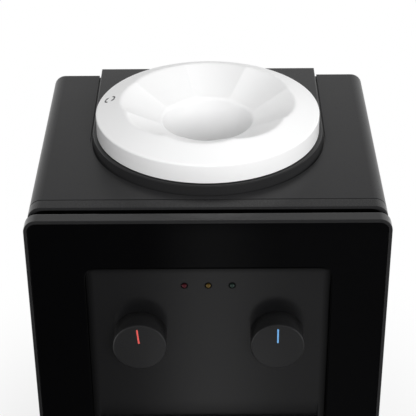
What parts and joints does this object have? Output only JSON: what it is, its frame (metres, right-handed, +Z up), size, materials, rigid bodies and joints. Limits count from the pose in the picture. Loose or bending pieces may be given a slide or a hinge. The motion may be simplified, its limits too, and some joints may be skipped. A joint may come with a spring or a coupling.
{
  "type": "countertop water dispenser",
  "caption": "Countertop water dispenser with a white bottle seat on top, rotary hot and cold taps on a dished front panel, a cup niche and a drip tray.",
  "frame": {"origin": "on the table under the middle of the object's footprint, knobs included", "axes": "+X to the right seen from the front, -Y to the front, +Z up"},
  "size_m": [0.3126, 0.293, 0.4878],
  "materials": {
    "housing_paint": "fine satin powder coat, near black",
    "frame_plastic": "satin moulded black",
    "bezel_plastic": "smooth moulded black",
    "gloss_black": "polished piano black",
    "charcoal_plastic": "satin charcoal",
    "deck_plastic": "fine-grain moulded black",
    "black_rubber": "matt",
    "zinc_steel": "bright zinc",
    "white_plastic": "satin white",
    "natural_plastic": "natural polypropylene",
    "white_foam": "expanded polystyrene beads",
    "bare_aluminium": "extruded",
    "white_ceramic": "alumina",
    "black_plastic": "satin",
    "stainless": "brushed",
    "heater_band": "dull steel",
    "clear_silicone": "milky silicone",
    "spout_plastic": "satin black",
    "brass_fittings": "turned",
    "knob_plastic": "satin charcoal",
    "red_marker": "inlaid red",
    "blue_marker": "inlaid blue",
    "red_lens": "clear red",
    "amber_lens": "clear amber",
    "green_lens": "clear pale green",
    "circuit_board": "green solder mask",
    "red_rocker": "red",
    "green_rocker": "green",
    "tray_plastic": "satin charcoal",
    "grille_plastic": "satin dark grey"
  },
  "bodies": {
    "housing": {"amber_lamp": "amber_lens", "baffle": "natural_plastic", "band_heater": "heater_band", "base_plate": "housing_paint", "bottle_deck": "deck_plastic", "cold_block": "bare_aluminium", "cold_hose": "clear_silicone", "cold_jacket": "white_foam", "cold_spout": "spout_plastic", "cold_tank": "natural_plastic", "cold_tap_body": "white_plastic", "drain_pipe": "white_plastic", "fan_frame": "black_plastic", "fan_screws": "zinc_steel", "feed_hose": "clear_silicone", "feet": "black_rubber", "foot_screws": "zinc_steel", "front_bezel": "bezel_plastic", "front_frame": "frame_plastic", "gloss_panel": "gloss_black", "green_lamp": "green_lens", "heat_sink": "bare_aluminium", "hot_hose": "clear_silicone", "hot_jacket": "white_foam", "hot_spout": "spout_plastic", "hot_tank": "stainless", "hot_tap_body": "white_plastic", "inlet_pins": "brass_fittings", "inlet_socket": "black_plastic", "lamp_board": "circuit_board", "main_housing": "housing_paint", "niche_liner": "charcoal_plastic", "peltier_module": "white_ceramic", "power_board": "circuit_board", "rear_panel": "housing_paint", "rear_screws": "zinc_steel", "red_lamp": "red_lens", "spindle_seals": "black_rubber", "switch_housings": "black_plastic", "tank_cradle": "zinc_steel", "tank_lid": "natural_plastic", "tap_bonnets": "brass_fittings", "tap_panel": "charcoal_plastic", "thermostats": "black_plastic", "transformer": "heater_band"},
    "hot_tap": {"hot_knob": "knob_plastic", "hot_marker": "red_marker", "hot_spindle": "brass_fittings"},
    "cold_tap": {"cold_knob": "knob_plastic", "cold_marker": "blue_marker", "cold_spindle": "brass_fittings"},
    "seat_ring": {"seat_gasket": "black_rubber"},
    "seat": {"bottle_seat": "white_plastic", "feed_probe": "white_plastic"},
    "tray": {"drip_tray": "tray_plastic"},
    "grille": {"drip_grille": "grille_plastic"},
    "fan": {"fan_rotor": "black_plastic"},
    "heat_switch": {"heat_rocker": "red_rocker"},
    "cool_switch": {"cool_rocker": "green_rocker"},
    "drain_plug": {"drain_cap": "black_rubber"}
  },
  "joints": [
    {"name": "hot_tap_turn", "type": "hinge", "parent": "housing", "child": "hot_tap", "pos_m": [-0.0605, -0.13, 0.3295], "axis": [0, -1, 0], "range_deg": [-5.5, 84.5]},
    {"name": "cold_tap_turn", "type": "hinge", "parent": "housing", "child": "cold_tap", "pos_m": [0.0605, -0.13, 0.3295], "axis": [0, 1, 0], "range_deg": [0, 90]},
    {"name": "seat_turn", "type": "hinge", "parent": "housing", "child": "seat_ring", "pos_m": [0, 0.02, 0.45], "axis": [0, 0, -1], "range_deg": [0, 33]},
    {"name": "seat_lift", "type": "slide", "parent": "seat_ring", "child": "seat", "axis": [0, 0, 1], "range_m": [0, 0.15]},
    {"name": "tray_slide", "type": "slide", "parent": "housing", "child": "tray", "axis": [0, -1, 0], "range_m": [0, 0.095]},
    {"name": "grille_lift", "type": "slide", "parent": "tray", "child": "grille", "axis": [0, 0, 1], "range_m": [0, 0.06]},
    {"name": "fan_spin", "type": "hinge", "parent": "housing", "child": "fan", "pos_m": [0, 0.13, 0.33], "axis": [0, 1, 0], "continuous": true},
    {"name": "heat_switch_rock", "type": "hinge", "parent": "housing", "child": "heat_switch", "pos_m": [0.092, 0.1365, 0.096], "axis": [1, 0, 0], "range_deg": [0, 18]},
    {"name": "cool_switch_rock", "type": "hinge", "parent": "housing", "child": "cool_switch", "pos_m": [0.118, 0.1365, 0.096], "axis": [1, 0, 0], "range_deg": [0, 18]},
    {"name": "drain_cap_pull", "type": "slide", "parent": "housing", "child": "drain_plug", "axis": [0, 1, 0], "range_m": [0, 0.02]}
  ]
}
